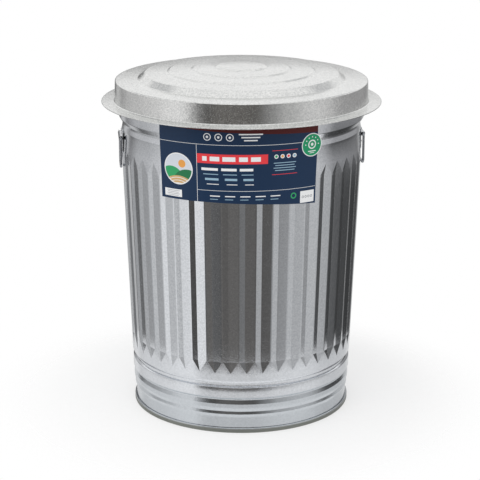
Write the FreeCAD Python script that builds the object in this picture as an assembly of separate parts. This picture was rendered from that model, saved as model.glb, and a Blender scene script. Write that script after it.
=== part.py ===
"""Galvanized steel trash can with a lift-off lid and two drop handles.

Millimetres, +Z up. The origin is on the floor, on the can's axis. The handles are on -X and +X,
and the label faces -Y. A sheet piece is drawn as the line through the middle of its sheet and
thickened. Radii ending in _R are to the outer face of the sheet. Angles run from -Y towards +X.
"""
import math
import os

import FreeCAD
import Part
from FreeCAD import Vector

# ---- sheet, wire and clearances -------------------------------------------------------------
SHEET = 0.8              # galvanized sheet
RIM_WIRE_D = 5.0         # wire inside the rolled rim
BAIL_WIRE_D = 5.0        # wire of the drop handles
RUN_FIT = 0.06           # radial clearance of the bail in its hump
ROLL_FIT = 0.05          # radial clearance of the rim roll round its wire
NEST_GAP = 0.1           # between sheets that lie inside one another in a seam
HOLE_FIT = 0.05          # radial clearance of a rivet in its hole
LID_REST_GAP = 0.3       # between the rim and the lid that rests on it
LID_SIDE_GAP = 0.5       # between the rim roll and the inside of the lid's skirt at its top

# ---- can body, its upper part measured down from the rim -------------------------------------
RIM_TOP_Z = 686.3        # top of the rolled rim
RIM_BAND_R = 251.5       # flared band under the rim
RIM_BAND_DEPTH = 70.8    # from the rim's top to the foot of the band
FLARE_H = 10.5           # height of the flare under the band
FLARE_STEP = 6.9         # the neck is this much narrower than the band
CREASE_DEPTH = 102.8     # from the rim's top to the sharp crease under the neck bead
NECK_BEAD_UP = 7.0       # from the crease to the bead's crest
NECK_BEAD_H = 1.1
BARREL_TOP_DEPTH = 160.3  # from the rim's top to the widest place of the barrel
BARREL_BULGE = 1.9       # the barrel's widest place over the neck

# ---- foot, measured up from the floor, each height from the one before it ----------------------
HOOP_R = 223.2           # plain band of the foot
HEM_OUT = 3.8            # the foot hem over the plain band
HEM_H = 10.4
LOW_BEAD_Z = 39.5
LOW_BEAD_H = 2.7         # over the plain band, like the next ones
MID_GROOVE_UP = 6.5
MID_GROOVE_H = 0.8
HIGH_BEAD_UP = 7.5
HIGH_BEAD_LAND = 7.5     # height of its flat crest
HIGH_BEAD_H = 4.4
TOP_GROOVE_UP = 7.8
TOP_GROOVE_LAND = 2.7
TOP_GROOVE_H = 1.8
SEAM_UP = 6.5            # lip of the foot seam
SEAM_LAND = 8.5
SEAM_H = 6.2
NOTCH_UP = 13.0          # groove between the foot seam and the barrel
NOTCH_LAND = 3.5
NOTCH_H = 1.5
BARREL_UP = 10.3         # lower edge of the barrel
BARREL_H = 7.1
LEDGE = 2.9              # how far the barrel overhangs the groove under it
LAP_ANGLE = -6.5         # the hoop's lap joint
LAP_W = 14.0
LAP_T = 0.5
PAN_TOP = 30.0           # upper face of the raised floor
PAN_FLANGE_FOOT = 3.0
PAN_RING_IN = 17.0       # pressed ring, in from the pan's edge
PAN_RING_DEPTH = 1.2

# ---- flutes ---------------------------------------------------------------------------------
FLUTES = 45              # pitches round the can; the one at the back seam is left plain
FLUTE_PHASE = 1.55       # first ridge
FLUTE_UP = 39.7          # full section from here over the barrel's lower edge
FLUTE_PAST = 4.0         # to here over its widest place
FLUTE_TIP = (24.0, 22.0)  # length of the closing triangles, below and above
FLUTE_DEPTH = 2.05       # at the barrel's widest place; it shrinks with the radius
FLUTE_VALLEY = 0.37      # where the valley lies, as a share of the pitch
FLUTE_LAND = 0.6         # degrees of plain ridge between two flutes
LOCK_SEAM_W = 9.0        # folded seam down the back
LOCK_SEAM_H = 0.9

# ---- lid ------------------------------------------------------------------------------------
LID_SKIRT_H = 42.2       # brim to upper edge
SKIRT_FLARE = 1.3        # the skirt opens this much downwards
BRIM_W = 28.1            # from the skirt's upper edge outwards
BRIM_HEM = 5.5           # depth of the folded edge
HEM_BEND = 0.9
STEP_IN = (46.3, 59.8)   # the tall step: its foot and its head, in from the lid's edge
STEP_RISE = (1.4, 13.4)  # their heights over the lid's edge
# each pressed ring inside the step: radius, rise over the step's head and bend radius
LID_RINGS = ((153.0, 2.1, 9.0), (146.0, 4.7, 7.0), (104.0, 5.9, 9.0), (96.5, 8.7, 7.0),
             (57.0, 10.1, 9.0), (48.0, 13.1, 7.0))
CROWN_RISE = 13.8        # middle of the lid over the step's head

# ---- handles --------------------------------------------------------------------------------
HINGE_DOWN = 10.5        # from the neck crease to the axis of the bail
HINGE_OUT = 5.0          # from the neck to that axis
BAIL_DROP = 60.0
BAIL_W = 67.0            # between the middles of the legs
BAIL_BEND = 9.0          # lower corners
BAIL_EYE_BEND = 4.0      # where the legs turn in
BAIL_PIN = 25.5          # length of each turned-in end
EAR_W = 56.0             # bracket
EAR_T = 1.6
EAR_SPAN = (32.0, 14.5)  # below and above the hinge axis
EAR_CORNER = 5.0
RIVET_IN = 10.0          # in from the bracket's sides
RIVET_SPAN = (17.0, 9.4)  # below and above the hinge axis, the lower ones over the flutes' ends
RIVET_D = 4.0
RIVET_HEAD_D = 7.0
RIVET_HEAD_H = 1.7

# ---- label, measured down from the rim --------------------------------------------------------
LABEL_T = 0.4
LABEL_GAP = 0.25         # air behind it, over the rim band and the ridges
LABEL_TURN = -5.3        # its middle line
LABEL_SIDES = (-39.4, 36.3)   # its two edges, from the middle line
LABEL_TOP_DEPTH = 48.3
# its lower edge: angle from the middle line and depth
LABEL_FOOT = ((-39.0, 200.8), (-14.0, 197.3), (0.0, 198.3), (12.0, 200.8), (24.0, 205.8),
              (36.0, 211.8))
STICKER_ANGLE = 33.2     # from the middle line
STICKER_DEPTH = 89.6
STICKER_R = 23.4
STICKER_T = 0.3

# ---- worked out -------------------------------------------------------------------------------
HALF = SHEET / 2
PITCH = 360.0 / FLUTES
PLAIN_SLOT = FLUTES // 2
LOCK_SEAM_ANGLE = FLUTE_PHASE + PITCH * (PLAIN_SLOT + 0.5)
NECK_R = RIM_BAND_R - FLARE_STEP
CREASE_Z = RIM_TOP_Z - CREASE_DEPTH
BARREL_TOP = (NECK_R + BARREL_BULGE, RIM_TOP_Z - BARREL_TOP_DEPTH)
MID_GROOVE_Z = LOW_BEAD_Z + MID_GROOVE_UP
HIGH_BEAD_Z = MID_GROOVE_Z + HIGH_BEAD_UP
TOP_GROOVE_Z = HIGH_BEAD_Z + HIGH_BEAD_LAND + TOP_GROOVE_UP
SEAM_Z = TOP_GROOVE_Z + TOP_GROOVE_LAND + SEAM_UP
SEAM_R = HOOP_R + SEAM_H
NOTCH_Z = SEAM_Z + SEAM_LAND + NOTCH_UP
BARREL_FOOT = (HOOP_R + BARREL_H, NOTCH_Z + NOTCH_LAND + BARREL_UP)
FLUTE_Z = (BARREL_FOOT[1] + FLUTE_UP, BARREL_TOP[1] + FLUTE_PAST)
FLUTE_TIP_Z = (FLUTE_Z[0] - FLUTE_TIP[0], FLUTE_Z[1] + FLUTE_TIP[1])
HINGE_R = NECK_R + HINGE_OUT
HINGE_Z = CREASE_Z - HINGE_DOWN
EAR_Z = (HINGE_Z - EAR_SPAN[0], HINGE_Z + EAR_SPAN[1])
RIVET_Y = EAR_W / 2 - RIVET_IN
RIVET_Z = (HINGE_Z - RIVET_SPAN[0], HINGE_Z + RIVET_SPAN[1])
LABEL_TOP = RIM_TOP_Z - LABEL_TOP_DEPTH
LABEL_LOW = RIM_TOP_Z - LABEL_FOOT[-1][1]
ROLL_R = RIM_WIRE_D / 2 + ROLL_FIT + HALF
ROLL_CENTRE = (RIM_BAND_R - HALF + ROLL_R, RIM_TOP_Z - HALF - ROLL_R)
RIM_R = ROLL_CENTRE[0] + ROLL_R + HALF
ORIGIN = Vector(0, 0, 0)
UP = Vector(0, 0, 1)


# ---- a bent sheet in the r-z plane ----------------------------------------------------------
def offset_line(path, d):
    """The path's corners moved d to the right of its direction, with their bend radii there."""
    dirs = []
    for p, q in zip(path, path[1:]):
        n = math.hypot(q[0] - p[0], q[1] - p[1])
        dirs.append(((q[0] - p[0]) / n, (q[1] - p[1]) / n))
    out = [(path[0][0] + d * dirs[0][1], path[0][1] - d * dirs[0][0], 0.0)]
    for p, (ax, az), (bx, bz) in zip(path[1:], dirs, dirs[1:]):
        k = d / (1.0 + ax * bx + az * bz)
        turn = 1.0 if ax * bz > az * bx else -1.0
        bend = p[2] + turn * d if p[2] else 0.0
        out.append((p[0] + k * (az + bz), p[1] - k * (ax + bx), bend))
    return out + [(path[-1][0] + d * dirs[-1][1], path[-1][1] - d * dirs[-1][0], 0.0)]


def rounded(corners):
    """Lines and arcs through the corners, each corner rounded to its bend radius."""
    pts = [Vector(c[0], 0, c[1]) for c in corners]
    edges, here = [], pts[0]
    for prev, p, nxt, c in zip(pts, pts[1:], pts[2:], corners[1:]):
        if c[2] < 0.05:
            edges.append(Part.makeLine(here, p))
            here = p
            continue
        a, b = (prev - p).normalize(), (nxt - p).normalize()
        half = a.getAngle(b) / 2
        start, end = p + a * (c[2] / math.tan(half)), p + b * (c[2] / math.tan(half))
        middle = p + (a + b).normalize() * (c[2] / math.sin(half) - c[2])
        if (start - here).Length > 1e-4:
            edges.append(Part.makeLine(here, start))
        edges.append(Part.Arc(start, middle, end).toShape())
        here = end
    edges.append(Part.makeLine(here, pts[-1]))
    return edges


def sheet_face(path, low=-HALF, high=HALF):
    """The section of a sheet bent along a path, between two offsets of the path."""
    right, left = offset_line(path, high), offset_line(path, low)
    ends = [Part.makeLine(Vector(r[0], 0, r[1]), Vector(q[0], 0, q[1]))
            for r, q in ((right[0], left[0]), (right[-1], left[-1]))]
    return Part.Face(Part.Wire(Part.__sortEdges__(rounded(right) + rounded(left) + ends)))


def polygon_face(points):
    return Part.Face(Part.makePolygon(points + points[:1]))


def spun(face, start=LOCK_SEAM_ANGLE, sweep=360.0):
    """A face in the r-z plane turned round the can's axis, beginning at an angle."""
    shape = face.revolve(ORIGIN, UP, sweep)
    shape.rotate(ORIGIN, UP, start - 90.0)
    return shape


def at(angle, r, z):
    a = math.radians(angle - 90.0)
    return Vector(r * math.cos(a), r * math.sin(a), z)


def between(p, q, z):
    """Radius at a height on the line from p to q."""
    return p[0] + (q[0] - p[0]) * (z - p[1]) / (q[1] - p[1])


# ---- body shell -----------------------------------------------------------------------------
def foot_line():
    """From the lip of the foot seam up to the lower corner of the barrel."""
    seam, notch, barrel = SEAM_R - HALF, HOOP_R + NOTCH_H - HALF, BARREL_FOOT[0] - HALF
    return [(seam, SEAM_Z), (seam, SEAM_Z + SEAM_LAND, 2.0),
            (notch, NOTCH_Z, 1.5), (notch, NOTCH_Z + NOTCH_LAND, 1.5),
            (barrel - LEDGE, BARREL_FOOT[1] - 1.0, 0.6), (barrel, BARREL_FOOT[1], 0.8)]


def neck_line():
    """From the crease over the barrel to the free end of the rolled rim."""
    r, band = NECK_R - HALF, RIM_BAND_R - HALF
    band_foot, crest = RIM_TOP_Z - RIM_BAND_DEPTH, RIM_TOP_Z - HALF
    flare_foot = band_foot - FLARE_H
    return [(r, CREASE_Z, 0.0),
            (r + NECK_BEAD_H, CREASE_Z + NECK_BEAD_UP, 6.0),
            (r - 0.3, flare_foot - 5.0, 3.0),
            (r + 0.2, flare_foot, 2.0),
            (band, band_foot, 3.0),
            (band, crest, ROLL_R),
            (band + 2 * ROLL_R, crest, ROLL_R),
            (band + 2 * ROLL_R, crest - 2 * ROLL_R, ROLL_R),
            (band + 0.6 * ROLL_R, crest - 2 * ROLL_R)]


def body_line():
    return foot_line() + [(BARREL_TOP[0] - HALF, BARREL_TOP[1], 0.0)] + neck_line()


def barrel_corners(side):
    """The barrel's lower corner, its widest point and the neck crease, on one face of the sheet."""
    n = len(foot_line())
    return offset_line(body_line(), side)[n - 1:n + 2]


def wall_r(z):
    """Outer radius of the unfluted wall at a height between the barrel and the rim."""
    line = offset_line(body_line(), HALF)
    for p, q in zip(line, line[1:]):
        if p[1] <= z <= q[1]:
            return between(p, q, z)
    return RIM_BAND_R


def flute_cutter(slot, side):
    """One flute: two long facets that meet in the valley, closed by triangles at both ends."""
    foot, top, neck = barrel_corners(side)
    start = FLUTE_PHASE + PITCH * slot
    valley, middle = start + PITCH * FLUTE_VALLEY, start + PITCH / 2
    sides = (start + FLUTE_LAND / 2, start + PITCH - FLUTE_LAND / 2)
    tip_r = (between(foot, top, FLUTE_TIP_Z[0]), between(top, neck, FLUTE_TIP_Z[1]))
    ends = []
    for z, tip_z, r_tip in zip(FLUTE_Z, FLUTE_TIP_Z, tip_r):
        r = between(foot, top, z)
        v = at(valley, r * (1 - FLUTE_DEPTH / top[0]), z)
        a, b = [v + (at(angle, r, z) - v) * 1.06 for angle in sides]
        ends.append((v, a, b, at(valley, r * 1.0125, z), v + (at(middle, r_tip, tip_z) - v) * 1.3))
    (v0, a0, b0, o0, p0), (v1, a1, b1, o1, p1) = ends
    rings = [[v0, v1, a1, a0], [v0, b0, b1, v1], [a0, a1, o1, o0], [o0, o1, b1, b0]]
    for v, a, b, o, p in ends:
        rings += [[v, a, p], [v, p, b], [o, p, a], [o, b, p]]
    solid = Part.Solid(Part.makeShell([polygon_face(ring) for ring in rings]))
    return solid if solid.Volume > 0 else solid.reversed()


def fluted_core(side, z0, z1):
    """The solid inside one face of the fluted barrel."""
    foot, top, neck = barrel_corners(side)
    corners = [(0, z0), (between(foot, top, z0), z0), (top[0], top[1]),
               (between(top, neck, z1), z1), (0, z1)]
    core = spun(polygon_face([Vector(r, 0, z) for r, z in corners]))
    return core.cut([flute_cutter(k, side) for k in range(FLUTES) if k != PLAIN_SLOT])


def lock_seam():
    """The folded seam down the back, standing proud of the barrel."""
    line = body_line()
    n = len(foot_line())
    low, high = BARREL_FOOT[1] + 9.0, CREASE_Z - 1.0
    path = [(between(line[n - 1], line[n], low), low), line[n], (between(line[n], line[n + 1], high), high)]
    sweep = math.degrees(LOCK_SEAM_W / BARREL_TOP[0])
    return spun(sheet_face(path, 0.0, HALF + LOCK_SEAM_H), LOCK_SEAM_ANGLE - sweep / 2, sweep)


def body_shell():
    z0 = (BARREL_FOOT[1] + FLUTE_TIP_Z[0]) / 2
    z1 = (FLUTE_TIP_Z[1] + CREASE_Z) / 2
    barrel = fluted_core(HALF, z0, z1).cut(fluted_core(-HALF, z0, z1))
    plain = spun(sheet_face(body_line()))
    window = Part.makeCylinder(RIM_R + 10.0, z1 - z0, Vector(0, 0, z0))
    return plain.cut(window).fuse([barrel, lock_seam()]).removeSplitter()


def rim_wire():
    return Part.makeTorus(ROLL_CENTRE[0], RIM_WIRE_D / 2, Vector(0, 0, ROLL_CENTRE[1]))


# ---- foot -----------------------------------------------------------------------------------
def hoop_line():
    """From the free edge of the foot hem, round the hem, over the two beads, into the seam."""
    r, hem = HOOP_R - HALF, HOOP_R + HEM_OUT - HALF
    high, groove = r + HIGH_BEAD_H, r + TOP_GROOVE_H
    tucked = SEAM_R - SHEET - NEST_GAP - HALF
    return [(HOOP_R + 0.4, HEM_H - HALF), (hem, HEM_H - HALF, 1.7), (hem, HALF, 1.3), (r, HALF, 1.3),
            (r, LOW_BEAD_Z - 6.0, 2.0), (r + LOW_BEAD_H, LOW_BEAD_Z, 2.5),
            (r + MID_GROOVE_H, MID_GROOVE_Z, 2.0),
            (high, HIGH_BEAD_Z, 3.0), (high, HIGH_BEAD_Z + HIGH_BEAD_LAND, 3.0),
            (groove, TOP_GROOVE_Z, 2.0), (groove, TOP_GROOVE_Z + TOP_GROOVE_LAND, 1.5),
            (tucked, SEAM_Z - 2.0, 1.5), (tucked, SEAM_Z + SEAM_LAND - 1.2)]


def base_hoop():
    line = hoop_line()
    lap_path = [(line[3][0], HEM_H + 1.5)] + line[4:11]
    sweep = math.degrees(LAP_W / HOOP_R)
    lap = spun(sheet_face(lap_path, 0.0, HALF + LAP_T), LAP_ANGLE - sweep / 2, sweep)
    return spun(sheet_face(line)).fuse(lap)


def bottom_pan():
    edge, z = HOOP_R - SHEET - NEST_GAP - HALF, PAN_TOP - HALF
    low, ring = z - PAN_RING_DEPTH, edge - PAN_RING_IN
    line = [(edge, PAN_FLANGE_FOOT), (edge, z, 3.4), (ring + 3.5, z, 1.2), (ring + 1.5, low, 1.2),
            (ring - 1.5, low, 1.2), (ring - 3.5, z, 1.2), (0, z)]
    return spun(sheet_face(line))


# ---- lid ------------------------------------------------------------------------------------
def lid_shell():
    """Folded hem, flat brim, straight skirt, then the stepped dome."""
    edge = RIM_R + LID_SIDE_GAP + HALF
    top = RIM_TOP_Z + LID_REST_GAP + HALF
    brim, out = top - LID_SKIRT_H, edge + BRIM_W
    hem = brim - 2 * HEM_BEND
    line = [(out - BRIM_HEM, hem), (out, hem, HEM_BEND), (out, brim, HEM_BEND),
            (edge + SKIRT_FLARE, brim, 3.0), (edge, top, 2.4)]
    line += [(edge - STEP_IN[0], top + STEP_RISE[0], 5.0), (edge - STEP_IN[1], top + STEP_RISE[1], 7.0)]
    head = top + STEP_RISE[1]
    line += [(r, head + rise, bend) for r, rise, bend in LID_RINGS]
    return spun(sheet_face(line + [(12.0, head + CROWN_RISE, 30.0), (0, head + CROWN_RISE)]))


# ---- handles, drawn on the +X side ----------------------------------------------------------
def ear_r(z):
    """Inner radius of the bracket's flange: it bridges the crease from its foot to its head."""
    feet = [(wall_r(z_end) + HOLE_FIT, z_end) for z_end in EAR_Z]
    return between(feet[0], feet[1], z)


def ear_outline():
    """The bracket seen from outside, with rounded corners, as a prism along X."""
    w, (z0, z1), c = EAR_W / 2, EAR_Z, EAR_CORNER
    prism = Part.makeBox(40, EAR_W, z1 - z0, Vector(NECK_R - 20, -w, z0))
    upright = [e for e in prism.Edges if abs(e.Vertexes[0].X - e.Vertexes[-1].X) > 1]
    return prism.makeFillet(c, upright)


def hump(radius, length):
    """A straight half-tube: round over the hinge axis, open towards the wall."""
    start = Vector(HINGE_R, -length / 2, HINGE_Z)
    tube = Part.makeCylinder(radius, length, start, Vector(0, 1, 0))
    back = Part.makeBox(15, length, 2 * radius, start - Vector(15, 0, radius))
    return tube.fuse(back)


def handle_bracket():
    low, high = EAR_Z
    corners = [(ear_r(z) + off, z) for z, off in ((low, 0), (low, EAR_T), (high, EAR_T), (high, 0))]
    flange = spun(polygon_face([Vector(r, 0, z) for r, z in corners]), 60.0, 60.0)
    behind = [(0, low - 1), (ear_r(low - 1), low - 1), (ear_r(high + 1), high + 1), (0, high + 1)]
    inner = BAIL_WIRE_D / 2 + RUN_FIT
    ear = flange.common(ear_outline()).fuse(hump(inner + EAR_T, EAR_W))
    ear = ear.cut(hump(inner, EAR_W + 2)).cut(spun(polygon_face([Vector(r, 0, z) for r, z in behind])))
    return ear.cut(rivet_shanks(RIVET_D / 2 + HOLE_FIT)).removeSplitter()


def rivet_frames():
    """Angle and height of each rivet of the bracket on +X."""
    return [(90.0 + turn * math.degrees(math.asin(RIVET_Y / NECK_R)), z) for z in RIVET_Z for turn in (-1, 1)]


def rivet_shanks(radius):
    return Part.makeCompound([Part.makeCylinder(radius, 12, at(a, NECK_R - 6, z), at(a, 1, 0))
                              for a, z in rivet_frames()])


def rivet(angle, z):
    """A rivet with a domed head outside and a flat one inside, drawn along its own axis."""
    head, shank, inside = RIVET_HEAD_D / 2, RIVET_D / 2, RIVET_HEAD_D / 2 - 0.5
    outer = ear_r(z) + EAR_T
    inner = wall_r(min(z + inside, CREASE_Z)) - SHEET - HOLE_FIT
    dome = (head * head + RIVET_HEAD_H ** 2) / (2 * RIVET_HEAD_H)
    ball = Part.makeSphere(dome, Vector(outer + RIVET_HEAD_H - dome, 0, 0))
    cap = ball.common(Part.makeCylinder(head, RIVET_HEAD_H + 1.5, Vector(outer - 0.5, 0, 0), Vector(1, 0, 0)))
    stem = Part.makeCylinder(shank, outer - inner + 0.5, Vector(inner - 0.5, 0, 0), Vector(1, 0, 0))
    foot = Part.makeCylinder(inside, 1.0, Vector(inner - 1.0, 0, 0), Vector(1, 0, 0))
    solid = cap.fuse([stem, foot])
    solid.rotate(ORIGIN, UP, angle - 90.0)
    solid.translate(Vector(0, 0, z))
    return solid


def rivets(ear):
    """Four on each bracket, their heads seated on it."""
    one_side = [rivet(a, z).cut(ear) for a, z in rivet_frames()]
    return one_side + [other_side(r) for r in one_side]


def bail():
    """A wire bent to a U, its ends turned in towards each other."""
    w, low = BAIL_W / 2, HINGE_Z - BAIL_DROP
    corners = [(w - BAIL_PIN, HINGE_Z), (w, HINGE_Z, BAIL_EYE_BEND), (w, low, BAIL_BEND),
               (-w, low, BAIL_BEND), (-w, HINGE_Z, BAIL_EYE_BEND), (BAIL_PIN - w, HINGE_Z)]
    path = Part.Wire(rounded(corners))
    ring = Part.Wire(Part.makeCircle(BAIL_WIRE_D / 2, Vector(w - BAIL_PIN, 0, HINGE_Z), Vector(1, 0, 0)))
    wire = path.makePipeShell([ring], True, False)
    wire.rotate(ORIGIN, UP, 90.0)
    wire.translate(Vector(HINGE_R, 0, 0))
    return wire


def other_side(shape):
    turned = shape.copy()
    turned.rotate(ORIGIN, UP, 180.0)
    return turned


# ---- label ----------------------------------------------------------------------------------
def label_line():
    """The label spans from the rim band to the flutes and lies on the ridges below."""
    off = LABEL_GAP + LABEL_T / 2
    low = LABEL_LOW - 30.0
    foot, top = barrel_corners(HALF)[:2]
    return [(between(foot, top, low) + off, low), (top[0] + off, top[1], 0.0),
            (RIM_BAND_R + off, RIM_TOP_Z - RIM_BAND_DEPTH, 8.0), (RIM_BAND_R + off, LABEL_TOP)]


def label_wrap():
    left, right = LABEL_SIDES
    corners = [(left, LABEL_TOP + 1), (left, RIM_TOP_Z - LABEL_FOOT[0][1])]
    corners += [(a, RIM_TOP_Z - depth) for a, depth in LABEL_FOOT[1:-1]]
    corners += [(right, LABEL_LOW), (right, LABEL_TOP + 1)]
    front = [Vector(wall_r(z) * math.sin(math.radians(a)), -RIM_BAND_R - 20, z) for a, z in corners]
    cutter = polygon_face(front).extrude(Vector(0, 20 + RIM_BAND_R / 2, 0))
    cutter.rotate(ORIGIN, UP, LABEL_TURN)
    span = LABEL_SIDES[1] - LABEL_SIDES[0] + 12.0
    sheet = sheet_face(label_line(), -LABEL_T / 2, LABEL_T / 2)
    return spun(sheet, LABEL_TURN + LABEL_SIDES[0] - 6.0, span).common(cutter)


def round_sticker():
    low = LABEL_T / 2 + NEST_GAP / 2
    angle = LABEL_TURN + STICKER_ANGLE
    band = spun(sheet_face(label_line(), low, low + STICKER_T), angle - 15.0, 30.0)
    z = RIM_TOP_Z - STICKER_DEPTH
    return band.common(Part.makeCylinder(STICKER_R, 60, at(angle, RIM_BAND_R - 30, z), at(angle, 1, 0)))


# ---- all pieces -----------------------------------------------------------------------------
def pieces():
    ear, holes = handle_bracket(), rivet_shanks(RIVET_D / 2 + HOLE_FIT)
    shell = body_shell().cut([holes, other_side(holes)])
    swing = bail()
    return {"body_shell": shell, "rim_wire": rim_wire(), "base_hoop": base_hoop(), "bottom_pan": bottom_pan(),
            "handle_bracket_left": other_side(ear), "handle_bracket_right": ear,
            "bracket_rivets": Part.makeCompound(rivets(ear)),
            "bail_left": other_side(swing), "bail_right": swing, "lid_shell": lid_shell(),
            "label_wrap": label_wrap(), "round_sticker": round_sticker()}


def main():
    os.makedirs("parts", exist_ok=True)
    for name, shape in pieces().items():
        solids = shape.Solids
        piece = solids[0] if len(solids) == 1 else Part.makeCompound(solids)
        box = piece.BoundBox
        print(name, len(solids), "solid", piece.isValid(), len(piece.Faces), "faces",
              round(piece.Volume), "mm3", [round(v, 1) for v in (box.XMin, box.YMin, box.ZMin)],
              [round(v, 1) for v in (box.XMax, box.YMax, box.ZMax)])
        piece.exportStep(os.path.join("parts", name + ".step"))


main()
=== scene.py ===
# %% [markdown]
# # A galvanized trash can
#
# The frame holds every piece of the can at its real size. This script dresses it: the sheet
# pieces are bent and spun again with fine, smooth meshes, the label gets its print, and the
# metal gets its zinc spangle. Lengths are written in millimetres and turned into metres by MM.

# %% Load the frame
import math

import bmesh
import bpy
from mathutils import Matrix, Vector


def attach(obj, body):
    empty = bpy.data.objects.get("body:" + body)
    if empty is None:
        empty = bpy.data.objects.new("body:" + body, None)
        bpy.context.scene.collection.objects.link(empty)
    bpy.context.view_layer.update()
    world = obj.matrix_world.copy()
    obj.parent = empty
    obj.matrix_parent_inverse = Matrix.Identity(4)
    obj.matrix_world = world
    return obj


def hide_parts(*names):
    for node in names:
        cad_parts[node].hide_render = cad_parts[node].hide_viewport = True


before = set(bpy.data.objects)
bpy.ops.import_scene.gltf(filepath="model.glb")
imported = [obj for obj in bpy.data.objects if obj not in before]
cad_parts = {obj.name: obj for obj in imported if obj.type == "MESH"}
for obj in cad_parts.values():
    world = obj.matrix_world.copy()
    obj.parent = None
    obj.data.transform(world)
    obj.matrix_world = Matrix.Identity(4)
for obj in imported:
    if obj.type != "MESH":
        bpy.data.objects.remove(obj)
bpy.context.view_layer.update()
MM = 0.001

# %% [markdown]
# ## The camera
#
# The photograph was taken from standing height with a long lens, a little to the left of the
# label's middle. The lens, the distance and the tilt were worked out from the outlines of the
# rim, the lid and the foot, so the camera is written as those few real sizes.

# %% Camera
VIEW_AZIMUTH = -5.3          # degrees: the handles are turned this much from the picture's plane
CAMERA_DISTANCE = 3.5318     # metres from the can's axis
CAMERA_HEIGHT = 1.3629       # metres
CAMERA_TILT = 16.11          # degrees downwards
CAMERA_YAW = 0.042           # degrees to the left
CAMERA_ROLL = 0.085          # degrees
FIELD_OF_VIEW = 15.62        # degrees across the picture


def make_camera():
    data = bpy.data.cameras.new("photo_camera")
    data.sensor_fit = "HORIZONTAL"
    data.angle = math.radians(FIELD_OF_VIEW)
    camera = bpy.data.objects.new("photo_camera", data)
    bpy.context.scene.collection.objects.link(camera)
    a = math.radians(VIEW_AZIMUTH)
    place = Vector((math.sin(a) * CAMERA_DISTANCE, -math.cos(a) * CAMERA_DISTANCE, CAMERA_HEIGHT))
    turn = Matrix.Rotation(a + math.radians(CAMERA_YAW), 4, "Z")
    tilt = Matrix.Rotation(math.radians(90.0 - CAMERA_TILT), 4, "X")
    roll = Matrix.Rotation(math.radians(CAMERA_ROLL), 4, "Z")
    camera.matrix_world = Matrix.Translation(place) @ turn @ tilt @ roll
    bpy.context.scene.camera = camera
    return camera


camera = make_camera()
print("camera at", tuple(round(v, 3) for v in camera.matrix_world.translation))

# %% [markdown]
# ## Bent sheet
#
# Most of the can is thin sheet bent along one line and carried round an axis. On a machine that
# is spinning and roll forming. Here the middle line of the sheet is a chain of edges, each bend
# is a vertex bevel, and a spin carries the line round. Solidify then gives the sheet its
# thickness. This keeps every bend a true round at any resolution, which a boolean would not.

# %% Helpers for bent sheet
SHEET = 0.8
HALF = SHEET / 2
ROUND_STEPS = 360
BEND_STEP = 0.2              # radians of bend to a segment
BEND_REACH = 0.999           # a bend ends a hair short of the next one
CREASE = 35.0                # degrees: a sharper fold is shaded as a corner
WELD = 1e-6                  # metres: points nearer than this become one


def at(angle, r, z):
    """A point at an angle from -Y towards +X, given in millimetres, in metres."""
    a = math.radians(angle - 90.0)
    return Vector((r * math.cos(a), r * math.sin(a), z)) * MM


def on_line(p, q, z):
    """Radius at a height on the line from p to q."""
    return p[0] + (q[0] - p[0]) * (z - p[1]) / (q[1] - p[1])


def bend_line(corners):
    """A chain of edges in the r-z plane through (r, z, bend radius) corners, bends rounded."""
    bm = bmesh.new()
    verts = [bm.verts.new((c[0] * MM, 0.0, c[1] * MM)) for c in corners]
    for pair in zip(verts, verts[1:]):
        bm.edges.new(pair)
    points, bends = [v.co.copy() for v in verts], []
    for i in range(1, len(corners) - 1):
        radius = corners[i][2] if len(corners[i]) > 2 else 0.0
        turn = (points[i] - points[i - 1]).angle(points[i + 1] - points[i])
        if radius:
            segments = max(2, math.ceil(turn / BEND_STEP))
            bends.append((verts[i], radius * MM * math.tan(turn / 2), segments))
    for vert, reach, segments in bends:
        bmesh.ops.bevel(bm, geom=[vert], offset=reach * BEND_REACH, affect="VERTICES",
                        segments=segments, profile=0.5, material=-1)
    return bm


def turn_round(bm, angle):
    bmesh.ops.rotate(bm, verts=bm.verts[:], matrix=Matrix.Rotation(math.radians(angle), 3, "Z"))


def spin_line(corners, start=90.0, sweep=360.0, steps=ROUND_STEPS):
    """Carries a bent line round the axis. The faces look to the right of the line."""
    bm = bend_line(corners)
    bmesh.ops.spin(bm, geom=bm.verts[:] + bm.edges[:], axis=(0, 0, 1), cent=(0, 0, 0),
                   dvec=(0, 0, 0), angle=math.radians(sweep), steps=steps,
                   use_merge=sweep == 360.0)
    bmesh.ops.remove_doubles(bm, verts=bm.verts[:], dist=WELD)
    bmesh.ops.recalc_face_normals(bm, faces=bm.faces[:])
    p, q = (Vector((c[0], 0.0, c[1])) * MM for c in corners[:2])
    first = min(bm.faces, key=lambda f: (f.calc_center_median() - (p + q) / 2).length)
    if first.normal.dot(Vector(((q - p).z, 0.0, (p - q).x))) < 0:
        bmesh.ops.reverse_faces(bm, faces=bm.faces[:])
    turn_round(bm, start - 90.0)
    return bm


def face_away(bm, point):
    """Turns the faces of an open surface away from a point behind it."""
    bmesh.ops.recalc_face_normals(bm, faces=bm.faces[:])
    if sum((f.calc_center_median() - point).dot(f.normal) * f.calc_area() for f in bm.faces) < 0:
        bmesh.ops.reverse_faces(bm, faces=bm.faces[:])


def add_to(bm, other):
    """Joins a second shape to the first."""
    carrier = bpy.data.meshes.new("carrier")
    other.to_mesh(carrier)
    bm.from_mesh(carrier)
    bpy.data.meshes.remove(carrier)
    other.free()


def thicken(bm, low=-HALF, high=HALF):
    """Turns an open surface into closed sheet between two offsets from it."""
    for v in bm.verts:
        v.co += v.normal * (high * MM)
    bmesh.ops.solidify(bm, geom=bm.faces[:], thickness=(high - low) * MM)


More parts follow.
